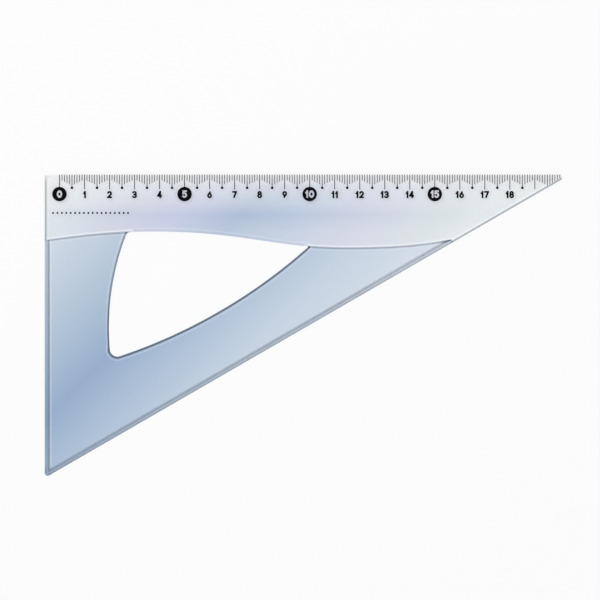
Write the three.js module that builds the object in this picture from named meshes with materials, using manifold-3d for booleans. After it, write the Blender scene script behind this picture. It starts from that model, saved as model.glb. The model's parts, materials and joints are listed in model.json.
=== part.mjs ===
// Drafting triangle: a 30-60-90 set square of clear blue plastic with a centimetre scale.
// Millimetres, +Z up. The plate lies on its underside at z = 0, the scale edge (the long leg)
// runs along +X to the 30 degree tip, and +Y points from the opening to the scale edge.
// Outlines are drawn from the right-angled corner: x along the scale edge, and depth, which is
// how far a point lies below the scale edge, so y is minus the depth.

import * as THREE from "three";
import { mergeVertices } from "three/addons/utils/BufferGeometryUtils.js";
import Module from "manifold-3d";

const wasm = await Module();
wasm.setup();

// The plate
const longLeg = 210.1;
const tipAngleDegrees = 30;
const plateThickness = 2.0;
const acuteCornerRadius = 1.2;
const squareCornerRadius = 0.6;
const cornerSteps = 20;
const overrun = 5.0;

// The scale band, thinner than the plate and sloping down to the scale edge
const scaleEdgeThickness = 1.0;
const stepHeight = 0.35;

// The curved step between the band and the full thickness. The curve starts at the rim of the
// short leg, rises to a crest, falls to a trough and ends near the hypotenuse.
const stepStartDepth = 26.2;
const crestDepth = 22.8;
const troughDepth = 29.4;
const stepEndDepth = 26.1;
const stepEndInset = 1.3;
const crestAlongShare = 0.26;
const troughAlongShare = 0.745;
const startHandleShare = 0.547;
const crestHandleShare = 0.471;
const troughHandleShare = 0.384;
const endHandleShare = 0.615;
const bowSteps = 10;
const waveSteps = 22;

// The bevelled rims along the short leg and the hypotenuse
const rimWidth = 1.7;
const rimDrop = 0.2;
const rimEdgeThickness = 1.2;
const rimLead = 0.8;

// The opening: two arcs under the curved step
const shortSideStrip = 25.7;
const shortSideArcDepth = 61.2;
const shortSideArcRadius = 103.2;
const longSideStrip = 22.87;
const longSideArcRadius = 216.1;
const longSideArcShare = 0.615;
const openingFootRadius = 3.0;
const openingTopRadius = 1.8;
const arcSteps = 16;
const filletSteps = 6;
const closingRounds = 16;

// The ink, a film that lies on the band
const inkThickness = 0.05;
const inkClearance = 0.02;

// The scale
const millimetre = 1.0;
const millimetresPerCentimetre = 10;
const zeroInset = 5.92;
const centimetreTick = 5.9;
const shortestTick = 2.4;
const tickGrowth = 0.48;
const halfTick = 5.3;
const tickWidth = 0.27;
const centimetreTickWidth = 0.3;
const halfDotRadius = 0.54;
const halfDotSteps = 9;
const scaleInkInset = 0.05;
const joiningLineWidth = 0.07;
const printMargin = 0.7;

// The figures
const figureHeight = 2.9;
const figureWidth = 1.95;
const figurePen = 0.72;
const oneWidth = 1.15;
const figureGap = 0.28;
const figureTopDepth = 6.55;
const bowStepDegrees = 24;

// The roundels, black discs with open figures at every fifth centimetre
const centimetresPerRoundel = 5;
const roundelRadius = 2.9;
const roundelDepth = 7.8;
const roundelSteps = 32;
const roundelFigureHeight = 3.0;
const roundelFigureWidth = 1.95;
const roundelOneWidth = 1.2;
const roundelPen = 0.68;
const roundelZeroWidth = 2.15;
const zeroCounterWidth = 0.85;
const zeroCounterHeight = 1.2;
const zeroSteps = 20;

// The dotted line to write a name on
const nameDotCount = 18;
const nameDotPitch = 1.763;
const nameDotRadius = 0.4;
const nameDotDepth = 15.35;
const nameDotInset = 3.36;
const nameDotSteps = 12;

// Each figure as strokes of a pen. Places are shares of the box that the middle of the pen
// moves in, from its lower left. A line has its two ends. A bow is part of an ellipse, with its
// centre, its two radii, and the angles in degrees where it starts and ends, and the pen may
// then go on straight to a place.
const figureStrokeShares = {
  1: [{ line: [[1, 0], [1, 1]] }, { line: [[0.1, 0.74], [0.8, 0.93]] }],
  2: [{ bow: [0.5, 0.69, 0.5, 0.31], turn: [155, -35], then: [0.14, 0.06] }, { line: [[0, 0], [1, 0]] }],
  3: [
    { bow: [0.45, 0.74, 0.5, 0.26], turn: [140, -90] },
    { bow: [0.45, 0.26, 0.55, 0.26], turn: [90, -140] },
  ],
  4: [
    { line: [[0.72, 0], [0.72, 1]] },
    { line: [[0, 0.27], [1, 0.27]] },
    { line: [[0.62, 0.93], [0.08, 0.35]] },
  ],
  5: [
    { line: [[0.12, 1], [0.95, 1]] },
    { line: [[0.12, 0.95], [0.06, 0.6]] },
    { bow: [0.45, 0.33, 0.55, 0.33], turn: [120, -140] },
  ],
  6: [
    { bow: [0.5, 0.31, 0.5, 0.31], turn: [0, 360] },
    { bow: [0.5, 0.31, 0.5, 0.31], turn: [180, 140], then: [0.62, 0.93] },
  ],
  7: [{ line: [[0, 1], [1, 1]] }, { line: [[0.86, 0.84], [0.35, 0.04]] }],
  8: [
    { bow: [0.5, 0.76, 0.42, 0.24], turn: [0, 360] },
    { bow: [0.5, 0.27, 0.5, 0.27], turn: [0, 360] },
  ],
  9: [
    { bow: [0.5, 0.69, 0.5, 0.31], turn: [0, 360] },
    { bow: [0.5, 0.69, 0.5, 0.31], turn: [0, -40], then: [0.38, 0.07] },
  ],
};

// The sizes that follow
const radians = (degrees) => THREE.MathUtils.degToRad(degrees);
const tipAngle = radians(tipAngleDegrees);
const shortLeg = longLeg * Math.tan(tipAngle);
const bandInnerThickness = plateThickness - stepHeight;
const bandSlope = Math.atan((bandInnerThickness - scaleEdgeThickness) / troughDepth);
const squareCorner = new THREE.Vector2(0, 0);
const acuteTip = new THREE.Vector2(longLeg, 0);
const shortLegFoot = new THREE.Vector2(0, -shortLeg);
const alongHypotenuse = shortLegFoot.clone().sub(acuteTip).normalize();
const intoPlate = new THREE.Vector2(alongHypotenuse.y, -alongHypotenuse.x);

// How deep the plate reaches below the scale edge at a place along it
function hypotenuseDepth(x) {
  return (longLeg - x) * Math.tan(tipAngle);
}

// The materials
function clearBluePlastic() {
  return new THREE.MeshStandardMaterial({
    color: 0xb3c6dc,
    roughness: 0.12,
    metalness: 0,
    transparent: true,
    opacity: 0.6,
  });
}

function blackInk() {
  return new THREE.MeshStandardMaterial({ color: 0x0c0d10, roughness: 0.6, metalness: 0 });
}

// A closed three.js mesh as a solid that can be joined and cut
function solidFrom(geometry) {
  const bare = geometry.clone();
  bare.deleteAttribute("normal");
  bare.deleteAttribute("uv");
  const merged = mergeVertices(bare);
  const mesh = new wasm.Mesh({
    numProp: 3,
    vertProperties: new Float32Array(merged.attributes.position.array),
    triVerts: new Uint32Array(merged.index.array),
  });
  return new wasm.Manifold(mesh);
}

// A solid back as three.js geometry
function geometryFrom(solid) {
  const mesh = solid.getMesh();
  const geometry = new THREE.BufferGeometry();
  geometry.setAttribute("position", new THREE.BufferAttribute(mesh.vertProperties, mesh.numProp));
  geometry.setIndex(new THREE.BufferAttribute(mesh.triVerts, 1));
  geometry.computeVertexNormals();
  return geometry;
}

// An outline of points raised to a height
function raised(points, height) {
  const shape = new THREE.Shape(points);
  return new THREE.ExtrudeGeometry(shape, { depth: height, bevelEnabled: false });
}

// Points on an arc of an ellipse, turning from one angle to another
function arcPoints(centre, radiusX, radiusY, from, to, steps) {
  const points = [];
  for (let step = 0; step <= steps; step += 1) {
    const angle = from + ((to - from) * step) / steps;
    const x = centre.x + radiusX * Math.cos(angle);
    const y = centre.y + radiusY * Math.sin(angle);
    points.push(new THREE.Vector2(x, y));
  }
  return points;
}

// Points on the short way round a circle between two points on it
function arcBetween(centre, start, end, steps) {
  const radius = start.distanceTo(centre);
  const from = Math.atan2(start.y - centre.y, start.x - centre.x);
  const to = Math.atan2(end.y - centre.y, end.x - centre.x);
  const turn = Math.atan2(Math.sin(to - from), Math.cos(to - from));
  return arcPoints(centre, radius, radius, from, from + turn, steps);
}

// A corner of an outline, rounded
function roundedCorner(corner, before, after, radius) {
  const back = before.clone().sub(corner).normalize();
  const ahead = after.clone().sub(corner).normalize();
  const halfAngle = Math.acos(back.dot(ahead)) / 2;
  const reach = radius / Math.tan(halfAngle);
  const inward = back.clone().add(ahead).setLength(radius / Math.sin(halfAngle));
  const start = corner.clone().addScaledVector(back, reach);
  const end = corner.clone().addScaledVector(ahead, reach);
  return arcBetween(corner.clone().add(inward), start, end, cornerSteps);
}

// The plate's outline, counterclockwise
function plateOutline() {
  return [
    ...roundedCorner(squareCorner, acuteTip, shortLegFoot, squareCornerRadius),
    ...roundedCorner(shortLegFoot, squareCorner, acuteTip, acuteCornerRadius),
    ...roundedCorner(acuteTip, shortLegFoot, squareCorner, acuteCornerRadius),
  ];
}

// Where the curved step ends: on a line just inside the hypotenuse
function stepEnd() {
  const depthOfHypotenuse = stepEndDepth + stepEndInset / Math.cos(tipAngle);
  return new THREE.Vector2(longLeg - depthOfHypotenuse / Math.tan(tipAngle), -stepEndDepth);
}

// The curved step from the short leg's rim to the hypotenuse
function stepCurve() {
  const start = new THREE.Vector2(rimWidth, -stepStartDepth);
  const end = stepEnd();
  const run = end.x - start.x;
  const crest = new THREE.Vector2(start.x + crestAlongShare * run, -crestDepth);
  const trough = new THREE.Vector2(start.x + troughAlongShare * run, -troughDepth);
  const rise = crest.x - start.x;
  const fall = trough.x - crest.x;
  const climb = end.x - trough.x;
  const startHandle = new THREE.Vector2(start.x + startHandleShare * rise, crest.y);
  const crestHandle = new THREE.Vector2(crest.x + crestHandleShare * fall, crest.y);
  const troughHandle = new THREE.Vector2(trough.x - troughHandleShare * fall, trough.y);
  const endHandle = new THREE.Vector2(trough.x + endHandleShare * climb, trough.y);
  const first = new THREE.QuadraticBezierCurve(start, startHandle, crest);
  const middle = new THREE.CubicBezierCurve(crest, crestHandle, troughHandle, trough);
  const last = new THREE.QuadraticBezierCurve(trough, endHandle, end);
  return [
    ...first.getPoints(bowSteps),
    ...middle.getPoints(waveSteps).slice(1),
    ...last.getPoints(bowSteps).slice(1),
  ];
}

// The height of the curve at a place along it
function curveHeight(curve, x) {
  const found = curve.findIndex((point) => point.x >= x);
  const next = found < 0 ? curve.length - 1 : Math.max(found, 1);
  const left = curve[next - 1];
  const right = curve[next];
  return left.y + ((right.y - left.y) * (x - left.x)) / (right.x - left.x);
}

// The two circles whose arcs are the sides of the opening
function shortSideCircle() {
  return new THREE.Vector2(shortSideStrip + shortSideArcRadius, -shortSideArcDepth);
}

function longSideCircle() {
  const hypotenuse = acuteTip.distanceTo(shortLegFoot);
  return acuteTip
    .clone()
    .addScaledVector(alongHypotenuse, longSideArcShare * hypotenuse)
    .addScaledVector(intoPlate, longSideStrip + longSideArcRadius);
}

// The lower of the two points where two circles meet
function lowerMeeting(centreA, radiusA, centreB, radiusB) {
  const apart = centreB.clone().sub(centreA);
  const distance = apart.length();
  const along = (radiusA ** 2 - radiusB ** 2 + distance ** 2) / (2 * distance);
  const aside = Math.sqrt(radiusA ** 2 - along ** 2);
  const unit = apart.clone().normalize();
  const foot = centreA.clone().addScaledVector(unit, along);
  const across = new THREE.Vector2(-unit.y, unit.x);
  const one = foot.clone().addScaledVector(across, aside);
  const other = foot.clone().addScaledVector(across, -aside);
  return one.y < other.y ? one : other;
}

// The point on a circle that a smaller circle inside it touches
function touchPoint(centre, radius, inner) {
  return inner.clone().sub(centre).setLength(radius).add(centre);
}

// The fillet between the short side arc and the curved step, found by closing in on it
function topFillet(curve, circle) {
  const reach = shortSideArcRadius - openingTopRadius;
  const centre = new THREE.Vector2(shortSideStrip, -crestDepth);
  for (let round = 0; round < closingRounds; round += 1) {
    centre.y = curveHeight(curve, centre.x) - openingTopRadius;
    centre.x = circle.x - Math.sqrt(reach ** 2 - (centre.y - circle.y) ** 2);
  }
  return centre;
}

// The right corner of the opening, where the long side arc runs into the curved step
function rightCorner(curve, circle) {
  const corner = new THREE.Vector2(0, -troughDepth);
  for (let round = 0; round < closingRounds; round += 1) {
    corner.x = circle.x + Math.sqrt(longSideArcRadius ** 2 - (corner.y - circle.y) ** 2);
    corner.y = curveHeight(curve, corner.x);
  }
  return corner;
}

// The opening's outline and the curved step with the opening's two corners on it
function openingAndStep() {
  const curve = stepCurve();
  const shortSide = shortSideCircle();
  const longSide = longSideCircle();
  const footCentre = lowerMeeting(
    shortSide,
    shortSideArcRadius - openingFootRadius,
    longSide,
    longSideArcRadius - openingFootRadius,
  );
  const footStart = touchPoint(shortSide, shortSideArcRadius, footCentre);
  const footEnd = touchPoint(longSide, longSideArcRadius, footCentre);
  const topCentre = topFillet(curve, shortSide);
  const topEnd = touchPoint(shortSide, shortSideArcRadius, topCentre);
  const topStart = new THREE.Vector2(topCentre.x, curveHeight(curve, topCentre.x));
  const right = rightCorner(curve, longSide);
  const under = curve.filter((point) => point.x > topStart.x && point.x < right.x);
  const opening = [
    ...arcBetween(topCentre, topStart, topEnd, filletSteps),
    ...arcBetween(shortSide, topEnd, footStart, arcSteps).slice(1),
    ...arcBetween(footCentre, footStart, footEnd, filletSteps).slice(1),
    ...arcBetween(longSide, footEnd, right, arcSteps).slice(1),
    ...under.slice().reverse(),
  ];
  const step = [
    ...curve.filter((point) => point.x <= topStart.x),
    topStart,
    ...under,
    right,
    ...curve.filter((point) => point.x >= right.x),
  ];
  return { opening, step };
}

// What the band loses: everything above its slope, as far as the curved step, which turns
// square to each edge where it reaches the rims
function bandCut(step) {
  const last = step[step.length - 1];
  const clear = overrun + rimWidth;
  const outside = last.clone().addScaledVector(intoPlate, -clear);
  const region = [
    new THREE.Vector2(-clear, step[0].y),
    ...step,
    outside,
    new THREE.Vector2(longLeg + clear, outside.y),
    new THREE.Vector2(longLeg + clear, clear),
    new THREE.Vector2(-clear, clear),
  ];
  const column = solidFrom(raised(region, plateThickness + overrun));
  const reach = longLeg + 4 * clear;
  const slopeTop = plateThickness + 2 * overrun;
  const rise = Math.tan(bandSlope);
  const profile = [
    new THREE.Vector2(-2 * clear, scaleEdgeThickness - 2 * clear * rise),
    new THREE.Vector2(shortLeg, scaleEdgeThickness + shortLeg * rise),
    new THREE.Vector2(shortLeg, slopeTop + shortLeg * rise),
    new THREE.Vector2(-2 * clear, slopeTop),
  ];
  const wedge = raised(profile, reach);
  const depthToMinusY = new THREE.Vector3(0, -1, 0);
  const heightToZ = new THREE.Vector3(0, 0, 1);
  const lengthToMinusX = new THREE.Vector3(-1, 0, 0);
  const turn = new THREE.Matrix4().makeBasis(depthToMinusY, heightToZ, lengthToMinusX);
  wedge.applyMatrix4(turn);
  wedge.translate(reach - 2 * clear, 0, 0);
  return column.intersect(solidFrom(wedge));
}

// What a rim loses, along an edge between two points, with the plate on the left of the way
function rimCut(from, to) {
  const bevelTop = plateThickness - rimDrop;
  const fallPerWidth = (bevelTop - rimEdgeThickness) / rimWidth;
  const profile = [
    new THREE.Vector2(-overrun, rimEdgeThickness - overrun * fallPerWidth),
    new THREE.Vector2(rimWidth, bevelTop),
    new THREE.Vector2(rimWidth, plateThickness + overrun),
    new THREE.Vector2(-overrun, plateThickness + overrun),
  ];
  const bar = raised(profile, from.distanceTo(to));
  const way = to.clone().sub(from).normalize();
  const inward = new THREE.Vector3(-way.y, way.x, 0);
  const up = new THREE.Vector3(0, 0, 1);
  const along = new THREE.Vector3(way.x, way.y, 0);
  bar.applyMatrix4(new THREE.Matrix4().makeBasis(inward, up, along));
  bar.translate(from.x, from.y, 0);
  return solidFrom(bar);
}

// The moulded plate
function plateGeometry() {
  const { opening, step } = openingAndStep();
  const shape = new THREE.Shape(plateOutline());
  shape.holes.push(new THREE.Path(opening));
  const blank = new THREE.ExtrudeGeometry(shape, { depth: plateThickness, bevelEnabled: false });
  const shortRimTop = new THREE.Vector2(0, step[0].y + rimLead);
  const shortRimFoot = new THREE.Vector2(0, -shortLeg - overrun);
  const stepReach = step[step.length - 1].clone().sub(acuteTip).dot(alongHypotenuse);
  const longRimTop = acuteTip.clone().addScaledVector(alongHypotenuse, stepReach - rimLead);
  const longRimFoot = shortLegFoot.clone().addScaledVector(alongHypotenuse, overrun);
  const cuts = bandCut(step)
    .add(rimCut(shortRimTop, shortRimFoot))
    .add(rimCut(longRimFoot, longRimTop));
  return geometryFrom(solidFrom(blank).subtract(cuts));
}

// The outline of a pen stroke along points, with ends square to it
function strokeOutline(points, pen) {
  const last = points.length - 1;
  const left = [];
  const right = [];
  points.forEach((point, index) => {
    const before = points[Math.max(index - 1, 0)];
    const after = points[Math.min(index + 1, last)];
    const way = after.clone().sub(before).normalize();
    const side = new THREE.Vector2(-way.y, way.x);
    left.push(point.clone().addScaledVector(side, pen / 2));
    right.push(point.clone().addScaledVector(side, -pen / 2));
  });
  return [...right, ...left.reverse()];
}

// Points made half a pen longer at both ends, in given ways
function lengthened(points, startWay, endWay, pen) {
  const start = points[0].clone().sub(startWay.clone().setLength(pen / 2));
  const end = points[points.length - 1].clone().add(endWay.clone().setLength(pen / 2));
  return [start, ...points, end];
}

// A closed pen ring: an ellipse with its inside open
function ringGeometry(centre, radiusX, radiusY, pen) {
  const outer = ellipsePoints(centre, radiusX + pen / 2, radiusY + pen / 2, zeroSteps);
  const inner = ellipsePoints(centre, radiusX - pen / 2, radiusY - pen / 2, zeroSteps);
  const shape = new THREE.Shape(outer);
  shape.holes.push(new THREE.Path(inner));
  return new THREE.ExtrudeGeometry(shape, { depth: inkThickness, bevelEnabled: false });
}

// The corners of a round or oval outline
function ellipsePoints(centre, radiusX, radiusY, steps) {
  return arcPoints(centre, radiusX, radiusY, 0, 2 * Math.PI, steps).slice(0, steps);
}

// The way a pen moves on an ellipse at an angle, turning with or against the clock
function bowWay(radiusX, radiusY, angle, clockwise) {
  const way = new THREE.Vector2(-radiusX * Math.sin(angle), radiusY * Math.cos(angle));
  return clockwise ? way.negate() : way;
}

// One stroke of a figure, raised
function strokeGeometry(stroke, width, height, pen) {
  const place = ([u, v]) => {
    return new THREE.Vector2(pen / 2 + u * (width - pen), pen / 2 + v * (height - pen));
  };
  if (stroke.line) {
    const [start, end] = stroke.line.map(place);
    const way = end.clone().sub(start);
    return raised(strokeOutline(lengthened([start, end], way, way, pen), pen), inkThickness);
  }
  const [centreU, centreV, radiusU, radiusV] = stroke.bow;
  const [from, to] = stroke.turn.map(radians);
  const centre = place([centreU, centreV]);
  const radiusX = radiusU * (width - pen);
  const radiusY = radiusV * (height - pen);
  if (to - from === 2 * Math.PI) {
    return ringGeometry(centre, radiusX, radiusY, pen);
  }
  const steps = Math.ceil(Math.abs(to - from) / radians(bowStepDegrees));
  const points = arcPoints(centre, radiusX, radiusY, from, to, steps);
  const startWay = bowWay(radiusX, radiusY, from, to < from);
  let endWay = bowWay(radiusX, radiusY, to, to < from);
  if (stroke.then) {
    const target = place(stroke.then);
    endWay = target.clone().sub(points[points.length - 1]);
    points.push(target);
  }
  return raised(strokeOutline(lengthened(points, startWay, endWay, pen), pen), inkThickness);
}

// A figure as one solid, its lower left corner at the origin
function figureSolid(digit, width, height, pen) {
  const strokes = figureStrokeShares[digit].map((stroke) => {
    return solidFrom(strokeGeometry(stroke, width, height, pen));
  });
  return strokes.reduce((joined, stroke) => joined.add(stroke));
}

// The digits of a number with their places, side by side and centred on zero
function figureRow(number, widthOf, gap) {
  const digits = String(number).split("");
  const widths = digits.map(widthOf);
  const total = widths.reduce((sum, width) => sum + width, gap * (digits.length - 1));
  let left = -total / 2;
  return digits.map((digit, index) => {
    const entry = { digit, left, width: widths[index] };
    left += widths[index] + gap;
    return entry;
  });
}

// A named mesh
function piece(name, geometry, material) {
  const mesh = new THREE.Mesh(geometry, material);
  mesh.name = name;
  return mesh;
}

// The length of the tick at a count of millimetres, before the hypotenuse cuts it short
function tickReach(count) {
  const place = count % millimetresPerCentimetre;
  const half = millimetresPerCentimetre / 2;
  if (place === half) {
    return halfTick;
  }
  if (place === 0) {
    return isRoundel(count) ? roundelDepth - roundelRadius : centimetreTick;
  }
  return shortestTick + tickGrowth * (Math.min(place, millimetresPerCentimetre - place) - 1);
}

// Whether a count of millimetres is a centimetre with a roundel
function isRoundel(count) {
  return count % (millimetresPerCentimetre * centimetresPerRoundel) === 0;
}

// The depth that print can reach at a place along the scale edge
function printableDepth(x) {
  return hypotenuseDepth(x) - printMargin / Math.cos(tipAngle);
}

// The last millimetre whose tick has room
function lastTick() {
  const room = longLeg - zeroInset - (printMargin + acuteCornerRadius) / Math.sin(tipAngle);
  return Math.floor(room / millimetre);
}

// One tooth of the scale's comb, from its right top to its left top. A half centimetre tick
// ends in a round dot where there is room for it.
function tooth(count, top) {
  const x = zeroInset + count * millimetre;
  const centimetre = count % millimetresPerCentimetre === 0;
  const halfWidth = (centimetre ? centimetreTickWidth : tickWidth) / 2;
  const room = printableDepth(x + halfWidth);
  const reach = tickReach(count);
  const dotted = reach === halfTick && halfTick + halfDotRadius < room;
  const right = new THREE.Vector2(x + halfWidth, -top);
  const left = new THREE.Vector2(x - halfWidth, -top);
  if (dotted) {
    const lean = Math.asin(halfWidth / halfDotRadius);
    const centre = new THREE.Vector2(x, -halfTick);
    const from = Math.PI / 2 - lean;
    const to = lean - (3 * Math.PI) / 2;
    return [right, ...arcPoints(centre, halfDotRadius, halfDotRadius, from, to, halfDotSteps), left];
  }
  const depth = Math.min(reach, room);
  return [right, new THREE.Vector2(right.x, -depth), new THREE.Vector2(left.x, -depth), left];
}

// All the ticks as one comb, joined by a hairline along the scale edge
function scaleTicks() {
  const outline = [];
  for (let count = 0; count <= lastTick(); count += 1) {
    outline.push(...tooth(count, scaleInkInset + joiningLineWidth).reverse());
  }
  const start = outline[0].x;
  const end = outline[outline.length - 1].x;
  outline.push(new THREE.Vector2(end, -scaleInkInset), new THREE.Vector2(start, -scaleInkInset));
  return piece("scale_ticks", raised(outline, inkThickness), blackInk());
}

// The place of a centimetre along the scale edge
function centimetrePlace(centimetre) {
  return zeroInset + centimetre * millimetresPerCentimetre * millimetre;
}

// The black figures of one centimetre, where they have room
function numerals(centimetre) {
  const x = centimetrePlace(centimetre);
  const widthOf = (digit) => (digit === "1" ? oneWidth : figureWidth);
  const row = figureRow(centimetre, widthOf, figureGap);
  const right = row[row.length - 1].left + row[row.length - 1].width;
  if (printableDepth(x + right) < figureTopDepth + figureHeight) {
    return [];
  }
  return row.map((entry, index) => {
    const name = row.length > 1 ? `numeral_${centimetre}_digit_${index + 1}` : `numeral_${centimetre}`;
    const solid = figureSolid(entry.digit, entry.width, figureHeight, figurePen);
    const mesh = piece(name, geometryFrom(solid), blackInk());
    mesh.position.set(x + entry.left, -figureTopDepth - figureHeight, 0);
    return mesh;
  });
}

// An oval in the middle of the box of a roundel's zero
function ovalSolid(width, height) {
  const middle = new THREE.Vector2(roundelZeroWidth / 2, roundelFigureHeight / 2);
  return solidFrom(raised(ellipsePoints(middle, width / 2, height / 2, zeroSteps), inkThickness));
}

// One roundel with its open figures, and the black spot in its zero, where it has room
function roundel(centimetre) {
  const widths = { 0: roundelZeroWidth, 1: roundelOneWidth };
  const row = figureRow(centimetre, (digit) => widths[digit] ?? roundelFigureWidth, figureGap);
  const x = centimetrePlace(centimetre);
  if (printableDepth(x + roundelRadius) < roundelDepth + roundelRadius) {
    return [];
  }
  const foot = -roundelFigureHeight / 2;
  const centre = new THREE.Vector2(0, 0);
  const disc = raised(ellipsePoints(centre, roundelRadius, roundelRadius, roundelSteps), inkThickness);
  let solid = solidFrom(disc);
  const meshes = [];
  row.forEach((entry) => {
    const zero = entry.digit === "0";
    const figure = zero
      ? ovalSolid(roundelZeroWidth, roundelFigureHeight)
      : figureSolid(entry.digit, entry.width, roundelFigureHeight, roundelPen);
    solid = solid.subtract(figure.translate([entry.left, foot, 0]));
    if (zero) {
      const spot = geometryFrom(ovalSolid(zeroCounterWidth, zeroCounterHeight));
      const counter = piece(`zero_counter_${centimetre}`, spot, blackInk());
      counter.position.set(x + entry.left, foot - roundelDepth, 0);
      meshes.push(counter);
    }
  });
  const mesh = piece(`roundel_${centimetre}`, geometryFrom(solid), blackInk());
  mesh.position.set(x, -roundelDepth, 0);
  return [mesh, ...meshes];
}

// The figures of every centimetre that has room, as roundels or as plain numerals
function figures() {
  const group = new THREE.Group();
  const last = Math.floor(lastTick() / millimetresPerCentimetre);
  for (let centimetre = 0; centimetre <= last; centimetre += 1) {
    const round = isRoundel(centimetre * millimetresPerCentimetre);
    const marks = round ? roundel(centimetre) : numerals(centimetre);
    marks.forEach((mark) => group.add(mark));
  }
  return group;
}

// The dotted line to write a name on
function nameLine() {
  const group = new THREE.Group();
  for (let index = 0; index < nameDotCount; index += 1) {
    const centre = new THREE.Vector2(nameDotInset + index * nameDotPitch, -nameDotDepth);
    const outline = ellipsePoints(centre, nameDotRadius, nameDotRadius, nameDotSteps);
    const name = `name_line_dot_${String(index + 1).padStart(2, "0")}`;
    group.add(piece(name, raised(outline, inkThickness), blackInk()));
  }
  return group;
}

// The printed ink, in a group that lies on the band's slope
function printedInk() {
  const group = new THREE.Group();
  group.position.set(0, 0, scaleEdgeThickness + inkClearance);
  group.rotation.set(-bandSlope, 0, 0);
  group.add(scaleTicks(), figures(), nameLine());
  return group;
}

// The whole triangle, with the middle of its outline at the origin
const middle = new THREE.Box2().setFromPoints(plateOutline()).getCenter(new THREE.Vector2());
const triangle = new THREE.Group();
triangle.position.set(-middle.x, -middle.y, 0);
triangle.add(piece("plate", plateGeometry(), clearBluePlastic()));
triangle.add(printedInk());

const group = new THREE.Group();
group.add(triangle);
export default group;
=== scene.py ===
# %% [markdown]
# # A drafting triangle of clear blue plastic
# The object is a 30-60-90 set square. It is moulded in one piece from clear plastic with a blue
# tint and printed with black ink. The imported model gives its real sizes. This lesson dresses
# that model: it makes the plate again with finely rounded edges, lays the printed marks on it as
# thin films of ink, and gives both a finish made of nodes. Shapes are drawn in millimetres in
# the plane of the plate and moved into the frame at the end.

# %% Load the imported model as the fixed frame
import json
import math

import bpy
import numpy as np
from mathutils import Euler, Matrix, Vector
from mathutils.geometry import delaunay_2d_cdt

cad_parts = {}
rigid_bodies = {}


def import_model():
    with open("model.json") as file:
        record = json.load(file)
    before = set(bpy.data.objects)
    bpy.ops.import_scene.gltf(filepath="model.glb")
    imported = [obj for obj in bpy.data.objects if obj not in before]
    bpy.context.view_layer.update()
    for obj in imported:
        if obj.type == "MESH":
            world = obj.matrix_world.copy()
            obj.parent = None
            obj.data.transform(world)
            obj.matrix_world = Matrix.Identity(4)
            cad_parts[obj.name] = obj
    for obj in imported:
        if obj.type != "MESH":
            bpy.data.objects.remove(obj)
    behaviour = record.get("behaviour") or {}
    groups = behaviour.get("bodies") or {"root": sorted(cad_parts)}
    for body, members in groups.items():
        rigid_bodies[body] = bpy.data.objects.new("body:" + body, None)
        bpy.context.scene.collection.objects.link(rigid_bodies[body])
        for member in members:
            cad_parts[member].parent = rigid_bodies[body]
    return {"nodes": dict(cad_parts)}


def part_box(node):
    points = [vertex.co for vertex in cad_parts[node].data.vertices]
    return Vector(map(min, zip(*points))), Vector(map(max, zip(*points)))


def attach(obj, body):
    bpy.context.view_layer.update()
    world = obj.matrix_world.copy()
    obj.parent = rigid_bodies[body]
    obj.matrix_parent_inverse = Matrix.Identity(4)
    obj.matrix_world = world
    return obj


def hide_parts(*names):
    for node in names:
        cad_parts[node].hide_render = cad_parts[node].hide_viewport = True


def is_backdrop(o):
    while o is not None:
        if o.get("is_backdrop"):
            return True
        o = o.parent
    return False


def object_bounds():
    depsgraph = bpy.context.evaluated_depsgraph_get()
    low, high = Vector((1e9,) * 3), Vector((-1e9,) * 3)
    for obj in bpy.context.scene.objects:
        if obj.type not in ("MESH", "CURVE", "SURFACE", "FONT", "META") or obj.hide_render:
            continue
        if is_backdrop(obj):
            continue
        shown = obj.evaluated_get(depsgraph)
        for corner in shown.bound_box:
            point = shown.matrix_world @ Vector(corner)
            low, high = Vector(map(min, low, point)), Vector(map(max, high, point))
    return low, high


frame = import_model()
cad_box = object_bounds()
MM = 0.001
plate_low, plate_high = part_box("plate")
print("the plate measures", [round(size / MM, 1) for size in plate_high - plate_low], "mm")

# %% [markdown]
# ## The camera
# The photograph looks straight down on the triangle with no visible perspective, as a copy stand
# does. An orthographic camera would do that too, but other views of this scene move the camera
# and keep its lens, so a very long lens is the better choice. It hangs over the middle of the
# picture, and its height follows from the width of table that the picture spans.

# %% Hang the camera over the plate
PICTURE_SPAN = 239.7 * MM
PICTURE_MIDDLE = (-1.36 * MM, 10.08 * MM)
CAMERA_LENS = 300.0


def new_object(name, data):
    """An object in the scene."""
    made = bpy.data.objects.new(name, data)
    bpy.context.scene.collection.objects.link(made)
    return made


camera = new_object("camera", bpy.data.cameras.new("camera"))
bpy.context.scene.camera = camera
camera.data.lens = CAMERA_LENS
camera_height = PICTURE_SPAN * camera.data.lens / camera.data.sensor_width
camera.location = (*PICTURE_MIDDLE, plate_high.z + camera_height)
print("the camera hangs", round(camera_height, 3), "m over the plate")

# %% [markdown]
# ## Nodes written as sums
# A finish or a pattern is easier to read as a formula than as a list of links. The class `Term`
# holds one socket and answers to the usual operators, each of which adds a Math node. A number may
# stand on either side of them. The class `Graph` holds a node tree. One of its methods adds any
# kind of node, and two short ones add a noise and a mix of shaders. Both classes work for shaders
# and for Geometry Nodes, because the two share the Math node.

# %% Terms and graphs
def math_node(operation, turned=False):
    """A method that adds a Math node, its two terms turned round if the number comes first."""

    def method(self, other):
        terms = (other, self) if turned else (self, other)
        return self.graph.node("ShaderNodeMath", dict(enumerate(terms)), {"operation": operation})

    return method


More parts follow.
